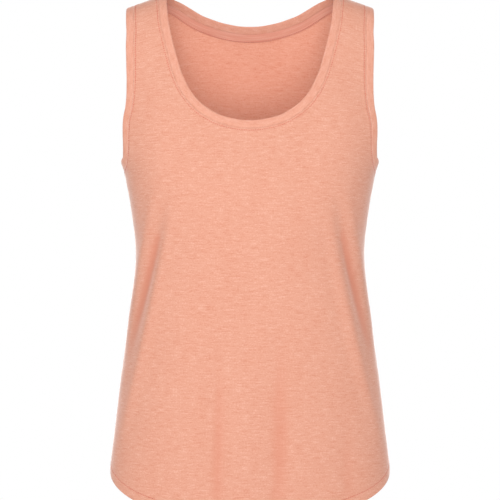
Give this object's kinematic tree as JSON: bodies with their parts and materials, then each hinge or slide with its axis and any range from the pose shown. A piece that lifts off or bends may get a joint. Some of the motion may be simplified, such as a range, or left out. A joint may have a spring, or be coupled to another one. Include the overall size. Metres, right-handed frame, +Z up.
{
  "type": "women's sleeveless tank top",
  "caption": "Scoop-neck sleeveless tank top in melange slub jersey, filled out as worn, with bound neck and armholes and a curved shirt-tail hem.",
  "frame": {"origin": "on the centre line between the two straps, level with the neck ends of the shoulder seams, in the plane of the side seams", "axes": "+Z up along the body, +X to the wearer's left arm, -Y to the front of the garment"},
  "size_m": [0.3406, 0.2229, 0.6313],
  "materials": {
    "jersey": "matte melange slub jersey with a soft fuzz",
    "jersey_band": "the same jersey folded double, its rows running along the edge",
    "jersey_tape": "the same jersey cut as a narrow tape, matte",
    "thread": "matte spun sewing thread, dyed to match"
  },
  "bodies": {
    "root": {"front_panel": "jersey", "back_panel": "jersey", "neck_band": "jersey_band", "armhole_band_left": "jersey_band", "armhole_band_right": "jersey_band", "back_neck_tape": "jersey_tape"}
  },
  "joints": []
}
